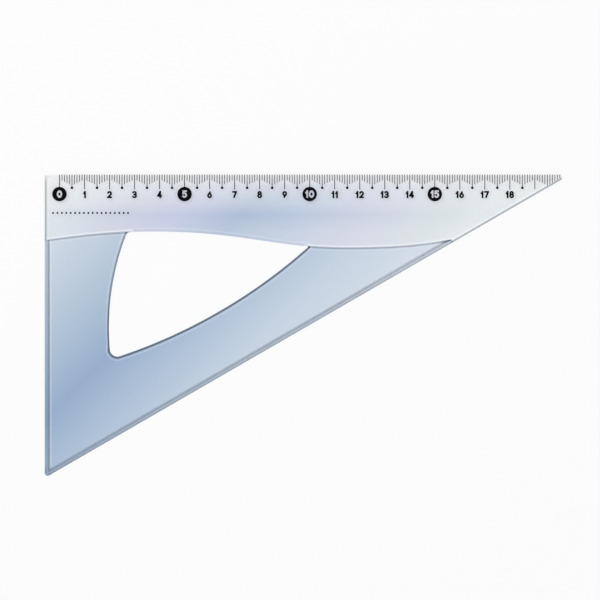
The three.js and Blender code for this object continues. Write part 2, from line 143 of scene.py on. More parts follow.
class Term:
    """A socket that takes part in sums."""

    def __init__(self, graph, socket):
        self.graph = graph
        self.socket = socket

    __add__ = math_node("ADD")
    __radd__ = math_node("ADD", turned=True)
    __sub__ = math_node("SUBTRACT")
    __rsub__ = math_node("SUBTRACT", turned=True)
    __mul__ = math_node("MULTIPLY")
    __rmul__ = math_node("MULTIPLY", turned=True)
    __truediv__ = math_node("DIVIDE")
    __rtruediv__ = math_node("DIVIDE", turned=True)
    __mod__ = math_node("FLOORED_MODULO")
    __rmod__ = math_node("FLOORED_MODULO", turned=True)
    __lt__ = math_node("LESS_THAN")
    __gt__ = math_node("GREATER_THAN")
    least = math_node("MINIMUM")
    most = math_node("MAXIMUM")

    def towards(self, other, share):
        """This value at share 0, the other at share 1."""
        return self + (other - self) * share


class Graph:
    """A node tree that grows node by node."""

    def __init__(self, tree):
        self.tree = tree

    def node(self, kind, sockets=(), settings=(), output=0):
        """Adds a node, sets it up, feeds its sockets and gives one of its outputs as a term."""
        made = self.tree.nodes.new(kind)
        for name, value in dict(settings).items():
            if name == "stops":
                set_stops(made.color_ramp, value)
            else:
                setattr(made, name, value)
        for name, value in dict(sockets).items():
            if isinstance(value, Term):
                self.tree.links.new(value.socket, made.inputs[name])
            else:
                made.inputs[name].default_value = value
        return Term(self, made.outputs[output]) if made.outputs else None

    def noise(self, place, scale, detail):
        """A noise between 0 and 1."""
        return self.node("ShaderNodeTexNoise", {"Vector": place, "Scale": scale, "Detail": detail})

    def blend(self, factor, one, other):
        """One shader mixed into another."""
        return self.node("ShaderNodeMixShader", {0: factor, 1: one, 2: other})


def set_stops(ramp, stops):
    """Gives a colour ramp its stops, a list of places and colours."""
    while len(ramp.elements) < len(stops):
        ramp.elements.new(1.0)
    for element, (place, colour) in zip(ramp.elements, stops):
        element.position = place
        element.color = colour


def new_material(name):
    """An empty material and its graph."""
    material = bpy.data.materials.new(name)
    material.use_nodes = True
    material.node_tree.nodes.clear()
    return material, Graph(material.node_tree)


def linear(red, green, blue):
    """A screen's colour, from 0 to 255, as light by the sRGB formula, for use in nodes."""
    seen = np.array([red, green, blue]) / 255
    light = np.where(seen > 0.04045, ((seen + 0.055) / 1.055) ** 2.4, seen / 12.92)
    return (*light, 1.0)


print("white paper at 250 is", [round(share, 3) for share in linear(250, 250, 250)])

# %% [markdown]
# ## Floor, room light and lamps
# A clear part is nothing without what lies behind it, so the floor is plain white paper. The
# world is a pale room, and two large square lamps stand low at the sides. Straight over the
# plate there is no lamp, so its flat face mirrors only the room and the print stays readable.
# All the light together brings white paper to just under white. What the camera sees, straight
# or through the plastic, is half the lit paper and half a plain white, as on a table that is lit
# from below too. That keeps the shadows faint and adds no light to the part.

# %% Lay the floor and set the lights
bpy.context.scene.view_settings.view_transform = "Standard"


def seen_ray(graph):
    """1 for the rays that the camera sees by, also mirrored or bent, and 0 for the others."""
    kinds = "Is Camera Ray", "Is Glossy Ray", "Is Transmission Ray"
    straight, mirrored, bent = [graph.node("ShaderNodeLightPath", output=kind) for kind in kinds]
    return straight.most(mirrored).most(bent)


FLOOR_REACH = 3.0
FLOOR_GAP = 0.05 * MM
FLOOR_SEEN = 0.99
PLAIN_SHARE = 0.5
PAPER_COLOUR = (0.94, 0.94, 0.94, 1)
PAPER_ROUGHNESS = 0.8
PAPER_SHEEN = 0.2
FIBRE_SCALE = 900.0
FIBRE_ROUGHNESS = 0.1
floor_mesh = bpy.data.meshes.new("floor")
floor_corners = [(-1, -1), (1, -1), (1, 1), (-1, 1)]
floor_mesh.from_pydata(
    [(x * FLOOR_REACH, y * FLOOR_REACH, -FLOOR_GAP) for x, y in floor_corners], [], [range(4)]
)
floor = new_object("floor", floor_mesh)
paper, graph = new_material("white_paper")
fibre = graph.noise(graph.node("ShaderNodeTexCoord", output="Object"), FIBRE_SCALE, 2.0)
paper_surface = graph.node(
    "ShaderNodeBsdfPrincipled",
    {
        "Base Color": PAPER_COLOUR,
        "Roughness": fibre * FIBRE_ROUGHNESS + PAPER_ROUGHNESS,
        "Specular IOR Level": PAPER_SHEEN,
    },
)
plain_white = graph.node("ShaderNodeEmission", {"Color": (1, 1, 1, 1), "Strength": FLOOR_SEEN})
paper_mix = graph.blend(seen_ray(graph) * PLAIN_SHARE, paper_surface, plain_white)
graph.node("ShaderNodeOutputMaterial", {"Surface": paper_mix})
floor.data.materials.append(paper)
floor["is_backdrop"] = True

ROOM_LIGHT = 0.78
ROOM_SEEN = 0.955
world = bpy.data.worlds.new("room")
world.use_nodes = True
world.node_tree.nodes.clear()
bpy.context.scene.world = world
room = Graph(world.node_tree)
background = room.node(
    "ShaderNodeBackground",
    {"Color": (1, 1, 1, 1), "Strength": seen_ray(room) * (ROOM_SEEN - ROOM_LIGHT) + ROOM_LIGHT},
)
room.node("ShaderNodeOutputWorld", {"Surface": background})

LAMP_DISTANCE = 2.4
LAMP_SIZE = 1.5
LAMPS = (("key_lamp", 135, 50, 14.3), ("fill_lamp", -30, 42, 6.4))
for lamp_name, azimuth, elevation, power in LAMPS:
    lamp = new_object(lamp_name, bpy.data.lights.new(lamp_name, "AREA"))
    lamp.data.size = LAMP_SIZE
    lamp.data.energy = power
    way = Euler((0, math.radians(90 - elevation), math.radians(azimuth)))
    lamp.rotation_euler = way
    lamp.location = way.to_matrix() @ Vector((0, 0, LAMP_DISTANCE))
    print(lamp_name, "stands at", [round(place, 2) for place in lamp.location])

# %% [markdown]
# ## Drawing in the plane
# On the plane of the plate a point is one complex number: its real part runs along the scale
# edge and its imaginary part is minus the depth below it. Turning is then a multiplication, and
# a line of points is one array. Sharp corners are rounded by an arc, and a line is moved aside
# with a mitre at each bend. These few helpers draw the outline, the opening and the figures.

# %% Helpers for lines of points
FINEST_TURN = math.radians(6)


def unit(step):
    """A step or steps with length one."""
    return step / abs(step)


def arc(centre, start, end, turn=FINEST_TURN):
    """Points on the short way round a circle from one of its points to another."""
    sweep = np.angle((end - centre) / (start - centre))
    steps = max(2, math.ceil(abs(sweep) / turn))
    return centre + (start - centre) * np.exp(1j * sweep * np.linspace(0, 1, steps + 1))


def bow(centre, radius_x, radius_y, start, end, turn=FINEST_TURN):
    """Points on part of an ellipse between two angles."""
    angle = np.linspace(start, end, math.ceil(abs(end - start) / turn) + 1)
    return centre + radius_x * np.cos(angle) + 1j * radius_y * np.sin(angle)


def oval(centre, radius_x, radius_y):
    """The points of a whole ellipse."""
    return bow(centre, radius_x, radius_y, 0, 2 * math.pi)[:-1]


def bezier(*controls, steps):
    """Points on a Bezier curve, by drawing in between its controls again and again."""
    share = np.linspace(0, 1, steps + 1)[:, None]
    points = np.array(controls)[None, :]
    while points.shape[1] > 1:
        points = points[:, :-1] * (1 - share) + points[:, 1:] * share
    return points[:, 0]


def moved_left(points, distance, loop=False):
    """A line or loop of points moved to its left, mitred at each bend."""
    if loop:
        before = unit(points - np.roll(points, 1))
        after = unit(np.roll(points, -1) - points)
    else:
        ways = unit(np.diff(points))
        before = np.append(ways[0], ways)
        after = np.append(ways, ways[-1])
    return points + distance * 2j * (before + after) / abs(before + after) ** 2


def rounded(corners, radii, inset):
    """A counterclockwise outline with rounded corners, moved into its inside."""
    loop = []
    for here, corner in enumerate(corners):
        back = unit(corners[here - 1] - corner)
        ahead = unit(corners[(here + 1) % len(corners)] - corner)
        half = abs(np.angle(back / ahead)) / 2
        middle = corner + unit(back + ahead) * max(radii[here], inset) / math.sin(half)
        radius = radii[here] - inset
        if radius > 0:
            loop.append(arc(middle, middle + radius * back * 1j, middle - radius * ahead * 1j))
        else:
            loop.append(np.array([middle]))
    return np.concatenate(loop)


def closed(loop):
    """A loop as a line that ends where it starts."""
    return np.append(loop, loop[0])


def distance_to(points, line):
    """How far each point lies from a line of points."""
    nearest = np.full(len(points), np.inf)
    for start, end in zip(line[:-1], line[1:]):
        share = ((points - start) / (end - start)).real.clip(0, 1)
        nearest = np.minimum(nearest, abs(points - start - share * (end - start)))
    return nearest


def inside(points, loop):
    """Which points lie inside a loop, by counting how often a level ray crosses it."""
    crossings = np.zeros(len(points), int)
    for start, end in zip(loop, np.roll(loop, -1)):
        spans = (start.imag > points.imag) != (end.imag > points.imag)
        rise = (end - start).imag or 1.0
        reach = start.real + (points.imag - start.imag) * (end - start).real / rise
        crossings += spans & (points.real < reach)
    return crossings % 2 == 1


print("a quarter turn takes", len(arc(0j, 1 + 0j, 1j)), "points")

# %% [markdown]
# ## The plate's three lines
# Three lines make the plate's shape. The outline is a right-angled triangle with small round
# corners. The curved step starts at the rim of the short leg, rises to a crest, falls to a
# trough and ends near the hypotenuse: three Bezier curves with level handles draw it. The
# opening has two large arcs for sides and the curved step for its top, with a fillet in each
# corner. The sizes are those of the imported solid.

# %% Draw the outline
LONG_LEG = 210.1
TIP_ANGLE = math.radians(30)
ACUTE_CORNER = 1.2
SQUARE_CORNER = 0.6

short_leg = LONG_LEG * math.tan(TIP_ANGLE)
acute_tip = LONG_LEG + 0j
short_leg_foot = -1j * short_leg
sharp_corners = [0j, short_leg_foot, acute_tip]
down_hypotenuse = unit(short_leg_foot - acute_tip)
into_plate = -1j * down_hypotenuse


def outline(inset):
    """The plate's outline, counterclockwise, moved into the plate."""
    return rounded(sharp_corners, [SQUARE_CORNER, ACUTE_CORNER, ACUTE_CORNER], inset)


outline_x = outline(0).real
print("the outline reaches from", round(outline_x.min(), 2), "to", round(outline_x.max(), 2), "mm")

# %% Draw the curved step
STEP_START_DEPTH = 26.2
CREST_DEPTH = 22.8
TROUGH_DEPTH = 29.4
STEP_END_DEPTH = 26.1
STEP_END_INSET = 1.3
CREST_SHARE = 0.26
TROUGH_SHARE = 0.745
HANDLE_SHARES = (0.547, 0.471, 0.384, 0.615)
OUTER_CURVE_STEPS = 40
MIDDLE_CURVE_STEPS = 80
RIM_WIDTH = 1.7
OVERRUN = 4.0


def step_line():
    """The curved step from the rim of the short leg to near the hypotenuse."""
    end_to_tip = (STEP_END_DEPTH + STEP_END_INSET / math.cos(TIP_ANGLE)) / math.tan(TIP_ANGLE)
    start = RIM_WIDTH - 1j * STEP_START_DEPTH
    end = LONG_LEG - end_to_tip - 1j * STEP_END_DEPTH
    run = (end - start).real
    crest = start.real + CREST_SHARE * run - 1j * CREST_DEPTH
    trough = start.real + TROUGH_SHARE * run - 1j * TROUGH_DEPTH
    rise, fall, climb = np.diff([start.real, crest.real, trough.real, end.real])
    first = bezier(start, start.real + HANDLE_SHARES[0] * rise + 1j * crest.imag, crest,
                   steps=OUTER_CURVE_STEPS)
    handles = crest + HANDLE_SHARES[1] * fall, trough - HANDLE_SHARES[2] * fall
    middle = bezier(crest, *handles, trough, steps=MIDDLE_CURVE_STEPS)
    last = bezier(trough, trough + HANDLE_SHARES[3] * climb, end, steps=OUTER_CURVE_STEPS)
    return np.concatenate([first, middle[1:], last[1:]])


step = step_line()


def step_height(x):
    """The height of the curved step at a place along it."""
    return np.interp(x, step.real, step.imag)


print("the step has", len(step), "points, from", np.round(step[0], 1), "to", np.round(step[-1], 1))

# %% Draw the opening
SHORT_SIDE_STRIP = 25.7
SHORT_SIDE_ARC_DEPTH = 61.2
SHORT_SIDE_RADIUS = 103.2
LONG_SIDE_STRIP = 22.87
LONG_SIDE_RADIUS = 216.1
LONG_SIDE_SHARE = 0.615
FOOT_FILLET = 3.0
TOP_FILLET = 1.8
RIGHT_FILLET = 0.12
LARGE_ARC_TURN = math.radians(0.5)
CLOSING_ROUNDS = 24


def corner_fillet(circle, radius, fillet, side):
    """The centre of a fillet between a side of the opening and the step, closed in on."""
    x = circle.real + side * radius
    for _ in range(CLOSING_ROUNDS):
        y = step_height(x) - fillet
        x = circle.real + side * math.sqrt((radius - fillet) ** 2 - (y - circle.imag) ** 2)
    return complex(x, y)


def foot_fillet(one, one_radius, other, other_radius):
    """The centre of the fillet between the two sides, the lower of the two places for it."""
    apart = other - one
    along = (one_radius**2 - other_radius**2 + abs(apart) ** 2) / (2 * abs(apart))
    aside = math.sqrt(one_radius**2 - along**2)
    places = [one + unit(apart) * complex(along, turn * aside) for turn in (-1, 1)]
    return min(places, key=lambda place: place.imag)


def touch(circle, radius, fillet_centre):
    """Where a fillet touches a side of the opening."""
    return circle + unit(fillet_centre - circle) * radius


def opening_line():
    """The opening's short side, long side and top, and where it leaves and meets the step."""
    short_side = complex(SHORT_SIDE_STRIP + SHORT_SIDE_RADIUS, -SHORT_SIDE_ARC_DEPTH)
    along_hypotenuse = LONG_SIDE_SHARE * abs(short_leg_foot - acute_tip) * down_hypotenuse
    long_side = acute_tip + along_hypotenuse + into_plate * (LONG_SIDE_STRIP + LONG_SIDE_RADIUS)
    top = corner_fillet(short_side, SHORT_SIDE_RADIUS, TOP_FILLET, -1)
    right = corner_fillet(long_side, LONG_SIDE_RADIUS, RIGHT_FILLET, 1)
    reaches = SHORT_SIDE_RADIUS - FOOT_FILLET, LONG_SIDE_RADIUS - FOOT_FILLET
    foot = foot_fillet(short_side, reaches[0], long_side, reaches[1])
    top_on_side = touch(short_side, SHORT_SIDE_RADIUS, top)
    foot_on_short = touch(short_side, SHORT_SIDE_RADIUS, foot)
    foot_on_long = touch(long_side, LONG_SIDE_RADIUS, foot)
    right_on_side = touch(long_side, LONG_SIDE_RADIUS, right)
    leave = complex(top.real, step_height(top.real))
    meet = complex(right.real, step_height(right.real))
    under = step[(step.real > leave.real) & (step.real < meet.real)]
    short_line = [
        arc(top, leave, top_on_side),
        arc(short_side, top_on_side, foot_on_short, LARGE_ARC_TURN)[1:],
    ]
    long_line = [
        arc(foot, foot_on_short, foot_on_long),
        arc(long_side, foot_on_long, right_on_side, LARGE_ARC_TURN)[1:],
        arc(right, right_on_side, meet)[1:],
    ]
    return np.concatenate(short_line), np.concatenate(long_line), under[::-1], leave, meet


short_side, long_side, opening_top, leave, meet = opening_line()
opening = np.concatenate([short_side, long_side[1:], opening_top])
print("the opening is", np.round(np.ptp(opening.real), 1), "mm long and",
      np.round(np.ptp(opening.imag), 1), "mm deep")

# %% [markdown]
# ## Heights
# The band under the scale thins down towards the scale edge, so that the ticks lie close to the
# paper. Below the curved step the plate has its full thickness, apart from a bevelled rim along
# the short leg and the hypotenuse. Moulded edges are never sharp: a small round runs along each
# top edge and a smaller one along each bottom edge. The height of the top face at a point is a
# formula of its distances to the three lines, and the mesh only has to have points where that
# formula bends.

# %% Heights from distances
PLATE = 2.0
SCALE_EDGE = 1.0
STEP_HEIGHT = 0.35
RIM_DROP = 0.2
RIM_EDGE = 1.2
TOP_ROUND = 0.2
BOTTOM_ROUND = 0.1
STEP_RAMP = 0.2
RIM_RAMP = 0.1

band_rise = (PLATE - STEP_HEIGHT - SCALE_EDGE) / TROUGH_DEPTH
band_slope = math.atan(band_rise)
past_left = complex(-OVERRUN, step[0].imag)
past_right = step[-1] - into_plate * OVERRUN
step_left = np.concatenate([[past_left], step[step.real < leave.real], [leave]])
step_right = np.concatenate([[meet], step[step.real > meet.real], [past_right]])
band_loop = np.concatenate([
    step_left, [opening.mean()], step_right,
    [complex(LONG_LEG + OVERRUN, past_right.imag), complex(LONG_LEG + OVERRUN, OVERRUN),
     complex(-OVERRUN, OVERRUN)],
])


def smooth(value, low, high):
    """0 below low and 1 above high, with a soft rise between."""
    share = ((value - low) / (high - low)).clip(0, 1)
    return share**2 * (3 - 2 * share)


def round_drop(distance, radius):
    """How far a rounded edge has dropped at a distance from it."""
    short = (radius - distance).clip(0, radius)
    return radius - np.sqrt(radius**2 - short**2)


class Places:
    """Points of the plate with their distances to its lines."""

    def __init__(self, points):
        self.depth = -points.imag
        self.from_left = points.real
        self.from_hypotenuse = ((points - acute_tip) * np.conj(into_plate)).real
        self.from_outline = distance_to(points, closed(outline(0)))
        self.from_short_side = distance_to(points, short_side)
        self.from_long_side = distance_to(points, long_side)
        self.from_top = distance_to(points, np.concatenate([[meet], opening_top, [leave]]))
        off_step = np.minimum(distance_to(points, step_left), distance_to(points, step_right))
        self.below_step = np.where(inside(points, band_loop), -off_step, off_step)
        edges = self.from_outline, self.from_short_side, self.from_long_side, self.from_top
        self.from_edge = np.min(edges, axis=0)


def top_height(places):
    """The height of the plate's top face."""
    band = SCALE_EDGE + band_rise * places.depth
    body = np.full(len(places.depth), PLATE)
    for distance in (places.from_left, places.from_hypotenuse):
        bevel = RIM_EDGE + (PLATE - RIM_DROP - RIM_EDGE) * distance / RIM_WIDTH
        past_rim = smooth(distance, RIM_WIDTH - RIM_RAMP, RIM_WIDTH + RIM_RAMP)
        body = np.minimum(body, bevel + (PLATE - bevel) * past_rim)
    height = band + (body - band) * smooth(places.below_step, -STEP_RAMP, STEP_RAMP)
    return height - round_drop(places.from_edge, TOP_ROUND)


def bottom_height(places):
    """The height of the plate's underside."""
    return round_drop(places.from_edge, BOTTOM_ROUND)


PROBES = np.array([100 - 1j, 100 - 20j, 10 - 60j])
probed = np.round(top_height(Places(PROBES)), 2)
print("top face at the scale, on the band and on the body:", probed)

# %% [markdown]
# ## What an edge of clear plastic looks like
# Seen flat on, clear plastic shows its edges as thin lines. A dark line lies just inside each
# edge and fold, where the plastic bends the view away into the dark, and a pale line lies beside
# it, where light gathers. A white studio has nothing dark to show there, so these lines of shade
# and light are painted into the plastic's colour through an attribute of the mesh: a number over
# 0 paints shade, and a number under 0 paints a highlight. Each edge has its own short profile, a
# list of distances in millimetres and amounts. The opening's short side has stronger painted
# lines towards its foot. The step's painted dark line is fainter on the rims and bends up a
# little at its right end, and its painted highlight stops short of the outline.

# %% Profiles of the edge lines
SHORT_SIDE_LINES = ((0, 0.15), (0.2, 0.5), (0.45, 0.72), (0.7, 0.48), (0.95, 0), (1.2, -0.22), (1.8, 0))
FOOT_LINES = (
    (0, 0.75), (0.15, 1.0), (0.35, 0.95), (0.55, 0.74), (0.75, 0.2), (0.9, -0.15), (1.05, -0.3),
    (1.35, 0)
)
FOOT_DEPTHS = 48.0, 58.0
LONG_SIDE_LINES = (
    (0, 0.1), (0.15, 0.45), (0.35, 0.88), (0.6, 1.0), (0.8, 0.57), (1.0, 0.14), (1.15, -0.02),
    (1.45, -0.28), (1.9, 0)
)
TOP_LINES = ((0, 0), (0.45, 0.06), (0.7, 0.1), (0.9, 0), (1.2, -0.22), (1.5, -0.1), (1.8, 0))
LEFT_RIM_LINES = (
    (0, 0.8), (0.15, 0.3), (0.4, 0.1), (0.8, 0.36), (1.2, 0.22), (1.5, 0.6), (1.75, 0.8),
    (2.0, 0.24), (2.2, -0.02), (2.4, -0.3), (2.7, -0.15), (3.0, 0)
)
LONG_RIM_LINES = (
    (0, 0.7), (0.2, 0.6), (0.4, 0.48), (0.7, 0.36), (0.95, 0.3), (1.2, 0.34), (1.5, 0.6),
    (1.7, 0.62), (1.9, 0.46), (2.1, 0.24), (2.3, 0.08), (2.5, -0.01), (2.9, 0)
)
BAND_LEFT_LINES = (
    (0, 0.7), (0.2, 0.44), (0.45, 0.45), (0.65, 0.38), (0.9, 0.18), (1.05, 0.03), (1.3, -0.12), (1.7, 0)
)
BAND_LONG_LINES = (
    (0, 0.5), (0.25, 0.55), (0.45, 0.55), (0.65, 0.34), (0.8, 0.07), (0.95, -0.35), (1.2, -0.75),
    (1.45, -0.42), (1.7, 0)
)
SCALE_EDGE_LINES = ((0, -0.55), (0.5, -0.3), (0.9, 0))
STEP_LINES = (
    (-1.2, 0), (-0.9, -0.4), (-0.7, -0.7), (-0.5, -0.45), (-0.3, 0), (-0.08, 0.45), (0.12, 0.68),
    (0.32, 0.5), (0.52, 0.1), (0.75, -0.03), (1.0, -0.18), (1.4, 0)
)
STEP_START_SHARES = (0, 0.35), (1.4, 0.2), (1.8, 0.6), (2.4, 1.15), (5, 1)
STEP_END_SHARES = (0, 0.25), (0.8, 0.75), (1.3, 0.9), (1.9, 1)
STEP_END_SHIFT = 0.3
STEP_END_REACH = 0.7, 1.5
STEP_GLINT_FADE = 0.5, 1.6
END_GLINT_FADE = 0.1, 0.9


def profile(distance, lines):
    """The amount that a profile gives at each distance."""
    places, amounts = zip(*lines)
    return np.interp(distance, places, amounts, left=0.0)


def line_shade(places):
    """How much painted shade, over 0, or painted highlight, under 0, the edge lines put on each point."""
    upper = profile(places.from_short_side, SHORT_SIDE_LINES)
    lower = profile(places.from_short_side, FOOT_LINES)
    edges = [
        upper + (lower - upper) * smooth(places.depth, *FOOT_DEPTHS),
        profile(places.from_long_side, LONG_SIDE_LINES),
        profile(places.from_left, LEFT_RIM_LINES),
        profile(places.from_hypotenuse, LONG_RIM_LINES),
    ]
    deep = np.max(edges, axis=0)
    body = np.where(deep > 0, deep, np.min(edges, axis=0))
    long_edge = profile(places.from_hypotenuse, BAND_LONG_LINES)
    above_step = smooth(-places.below_step, *END_GLINT_FADE)
    band = profile(places.from_left, BAND_LEFT_LINES) + profile(places.from_top, TOP_LINES)
    band += profile(places.depth, SCALE_EDGE_LINES)
    band += long_edge.clip(0) + long_edge.clip(None, 0) * above_step
    below = smooth(places.below_step, -RIM_RAMP, RIM_RAMP)
    at_end = 1 - smooth(places.from_hypotenuse, *STEP_END_REACH)
    along_step = profile(places.below_step + at_end * STEP_END_SHIFT, STEP_LINES)
    shares = profile(places.from_left, STEP_START_SHARES) * profile(places.from_hypotenuse, STEP_END_SHARES)
    dark = along_step.clip(0) * shares
    glint = along_step.clip(None, 0) * smooth(places.from_outline, *STEP_GLINT_FADE)
    return band + (body - band) * below + dark + glint


print("the rim's lines reach", LEFT_RIM_LINES[-1][0], "mm inwards")

# %% [markdown]
# ## One mesh from many lines
# A thin sheet with holes, folds and rounded edges is awkward to model by hand, and a boolean
# leaves long slivers. A constrained Delaunay triangulation is cleaner: it takes every line where
# the height or the painted edge shade bends, adds the points where lines cross, and fills the
# plane with triangles. Those inside the outline and outside the opening are kept. The same
# triangles make the top face and, turned over, the underside, and a wall joins the two along each
# free edge.
# Short lines across the rims, near each corner, keep the mixed painted shade of a corner in that corner.

# %% Helpers that fill a sheet and raise a slab
MERGE_DISTANCE = 1e-4


def triangulated(loops, lines, keep):
    """Points and triangles that follow closed loops and open lines.

    keep says from the set of loops round a triangle whether it stays.
    """
    points, edges, faces = [], [], []
    for loop in loops:
        faces.append(list(range(len(points), len(points) + len(loop))))
        points.extend(loop)
    for line in lines:
        first = len(points)
        points.extend(line)
        edges.extend((here, here + 1) for here in range(first, len(points) - 1))
    flat = [Vector((point.real, point.imag)) for point in points]
    corners, _, found, _, _, origins = delaunay_2d_cdt(flat, edges, faces, 0, MERGE_DISTANCE)
    triangles = [face for face, around in zip(found, origins) if keep(set(around))]
    used = sorted({corner for face in triangles for corner in face})
    place = {corner: here for here, corner in enumerate(used)}
    kept = np.array([complex(*corners[corner]) for corner in used])
    return kept, [[place[corner] for corner in face] for face in triangles]


def slab(name, points, triangles, low, high, to_frame):
    """A closed mesh between a lower and an upper height at each point, as an object."""
    count = len(points)
    under = [[corner + count for corner in reversed(face)] for face in triangles]
    sides = {(face[turn - 1], face[turn]) for face in triangles for turn in range(3)}
    walls = [
        [start, start + count, end + count, end]
        for start, end in sorted(sides)
        if (end, start) not in sides
    ]
    across = np.concatenate([points, points])
    up = np.concatenate([np.broadcast_to(high, count), np.broadcast_to(low, count)])
    mesh = bpy.data.meshes.new(name)
    places = [to_frame @ Vector(place) for place in zip(across.real, across.imag, up)]
    mesh.from_pydata(places, [], triangles + under + walls)
    return new_object(name, mesh)


def finish_piece(piece, material, slot, *nodes):
    """Gives a piece its material, hangs it on the root body and hides the imported parts it takes the place
    of.
    """
    piece.data.materials.clear()
    piece.data.materials.append(material)
    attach(piece, "root")
    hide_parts(*nodes)


print("helpers for slabs are ready")

# %% Mould the plate
SHARP_FOLD = math.radians(50)
EDGE_RINGS = (0, 0.02, 0.06, 0.12, 0.2, 0.3)
OUTLINE_PROFILES = (LEFT_RIM_LINES, LONG_RIM_LINES, BAND_LEFT_LINES, BAND_LONG_LINES, SCALE_EDGE_LINES)
OPENING_PROFILES = (SHORT_SIDE_LINES, FOOT_LINES, LONG_SIDE_LINES, TOP_LINES)
RIM_REACH = 3.4
CORNER_REACHES = 3.6, 6.2, 12.8
plate_to_frame = Matrix.Translation((plate_low.x, plate_high.y, plate_low.z)) @ Matrix.Scale(MM, 4)


def bends(profiles, *others):
    """Every distance at which a profile or something else bends."""
    return sorted({*others, *(place for lines in profiles for place, _ in lines)})


outline_rings = bends(OUTLINE_PROFILES, *EDGE_RINGS, RIM_WIDTH - RIM_RAMP, RIM_WIDTH, RIM_WIDTH + RIM_RAMP)
opening_rings = bends(OPENING_PROFILES, *EDGE_RINGS)
step_rings = bends([STEP_LINES], -STEP_RAMP, -RIM_RAMP, 0, RIM_RAMP, STEP_RAMP)
whole_step = np.concatenate([[past_left], step, [past_right]])
lines = [closed(outline(inset)) for inset in outline_rings[1:]]
lines += [closed(moved_left(opening, -distance, loop=True)) for distance in opening_rings[1:]]
lines += [moved_left(whole_step, -distance) for distance in step_rings]
for here, reach in enumerate(CORNER_REACHES):
    corner = sharp_corners[here]
    ends = np.array([reach - 1j * RIM_REACH, reach + 1j * RIM_REACH])
    lines += [corner + unit(sharp_corners[here - back] - corner) * ends for back in (1, 2)]
points, triangles = triangulated([outline(0), opening], lines, lambda around: around == {0})
places = Places(points)
plate = slab("moulded_plate", points, triangles, bottom_height(places), top_height(places), plate_to_frame)
plate.data.shade_smooth()
plate.data.set_sharp_from_angle(angle=SHARP_FOLD)
body_share = smooth(places.below_step, -RIM_RAMP, RIM_RAMP)
for attribute_name, amounts in (("body_share", body_share), ("line_shade", line_shade(places))):
    attribute = plate.data.attributes.new(attribute_name, "FLOAT", "POINT")
    attribute.data.foreach_set("value", np.concatenate([amounts, amounts]).astype(np.float32))
print("the plate has", len(plate.data.polygons), "faces")
print("and is", round(plate.dimensions.z / MM, 2), "mm thick")

# %% [markdown]
# ## Clear blue plastic
# The plastic is a clear moulding grade with a little blue dye. On white paper the room makes it
# look darkest along one diagonal and paler towards both ends, and the thin band looks paler than
# the body. A glass shader alone would show the paper nearly white, so the colour is the dye's
# tint with that shade of the room painted in: a pair of soft ramps along that diagonal, one for
# the body and one for the band. The edge lines paint shade and highlights onto it. Light from
# lamps and from the paper passes straight through the shader's other half, a Transparent shader,
# which keeps the paper under the plate bright and free of grain. Light that is caught between the
# faces would bounce until it's lost, and leave the walls black. After a few bounces it's let out
# instead, a shade deeper, so the walls have the fuller blue of a real edge.

# %% Mix the plastic
PAPER_LIGHT = (0.918, 0.93, 0.95)
MIRRORED_LIGHT = 0.037
RAMP_REACH = 200.0
# Dye tint with painted room shade: darkest along the middle of the diagonal, paler towards both ends.
BODY_TINT_AND_SHADE = ((32, 206, 216, 230), (66, 180, 198, 217), (98, 153, 175, 204), (118, 171, 190, 214),
              (150, 197, 211, 227), (181, 214, 222, 234))
BAND_TINT_AND_SHADE = ((10, 231, 235, 240), (24, 219, 228, 234), (46, 206, 212, 228), (70, 198, 204, 229),
              (94, 174, 191, 215), (118, 188, 202, 224), (142, 206, 211, 229), (178, 219, 227, 231),
              (190, 227, 234, 236))
PALE_REACH = 25.0
PALE_SHARES = ((0, 1.0), (2.5, 0.92), (4.5, 0.6), (11.5, 0.27), (16, 0), (23, 0.18))
SCALE_TONE = (240, 241, 244)
# Colours that the edge lines paint in: a painted shade and a painted glint.
EDGE_SHADE_TONE = (84, 94, 110)
GLINT_TONE = (243, 249, 255)
MOST_BOUNCES = 4.5
LET_OUT_LIGHT = (0.52, 0.62, 0.76, 1)
PASSED_LIGHT = (0.97, 0.985, 1, 1)
PLASTIC_IOR = 1.49
PLASTIC_ROUGHNESS = 0.02
FLOW_ROUGHNESS = 0.05
FLOW_SCALE = 70.0
SKIN_SCALE = 420.0
SKIN_STRENGTH = 0.05
SKIN_DEPTH = 0.05 * MM


def tint(red, green, blue):
    """The tint of plastic that has this colour on white paper."""
    passed = (np.array(linear(red, green, blue)[:3]) - MIRRORED_LIGHT) / PAPER_LIGHT
    return (*passed.clip(0, 1), 1.0)


def tint_ramp(graph, along, tones):
    """A ramp along the diagonal: the dye's tint with the room's shade painted in."""
    stops = [(place / RAMP_REACH, tint(*tone)) for place, *tone in tones]
    return graph.node("ShaderNodeValToRGB", {"Fac": along / RAMP_REACH}, {"stops": stops})


def blended(graph, factor, one, other):
    """One colour mixed into another, by the sockets for colours, which have no names of their own."""
    return graph.node("ShaderNodeMix", {0: factor, 6: one, 7: other}, {"data_type": "RGBA"}, output=2)


plastic, graph = new_material("clear_blue_plastic")
place = graph.node("ShaderNodeTexCoord", output="Object")
across = graph.node("ShaderNodeSeparateXYZ", {"Vector": place}, output="X") / MM - plate_low.x / MM
depth = plate_high.y / MM - graph.node("ShaderNodeSeparateXYZ", {"Vector": place}, output="Y") / MM
below = graph.node("ShaderNodeAttribute", settings={"attribute_name": "body_share"}, output="Fac")
shade = graph.node("ShaderNodeAttribute", settings={"attribute_name": "line_shade"}, output="Fac")
pale_stops = [(down / PALE_REACH, (share, share, share, 1)) for down, share in PALE_SHARES]
pale = graph.node("ShaderNodeValToRGB", {"Fac": depth / PALE_REACH}, {"stops": pale_stops})
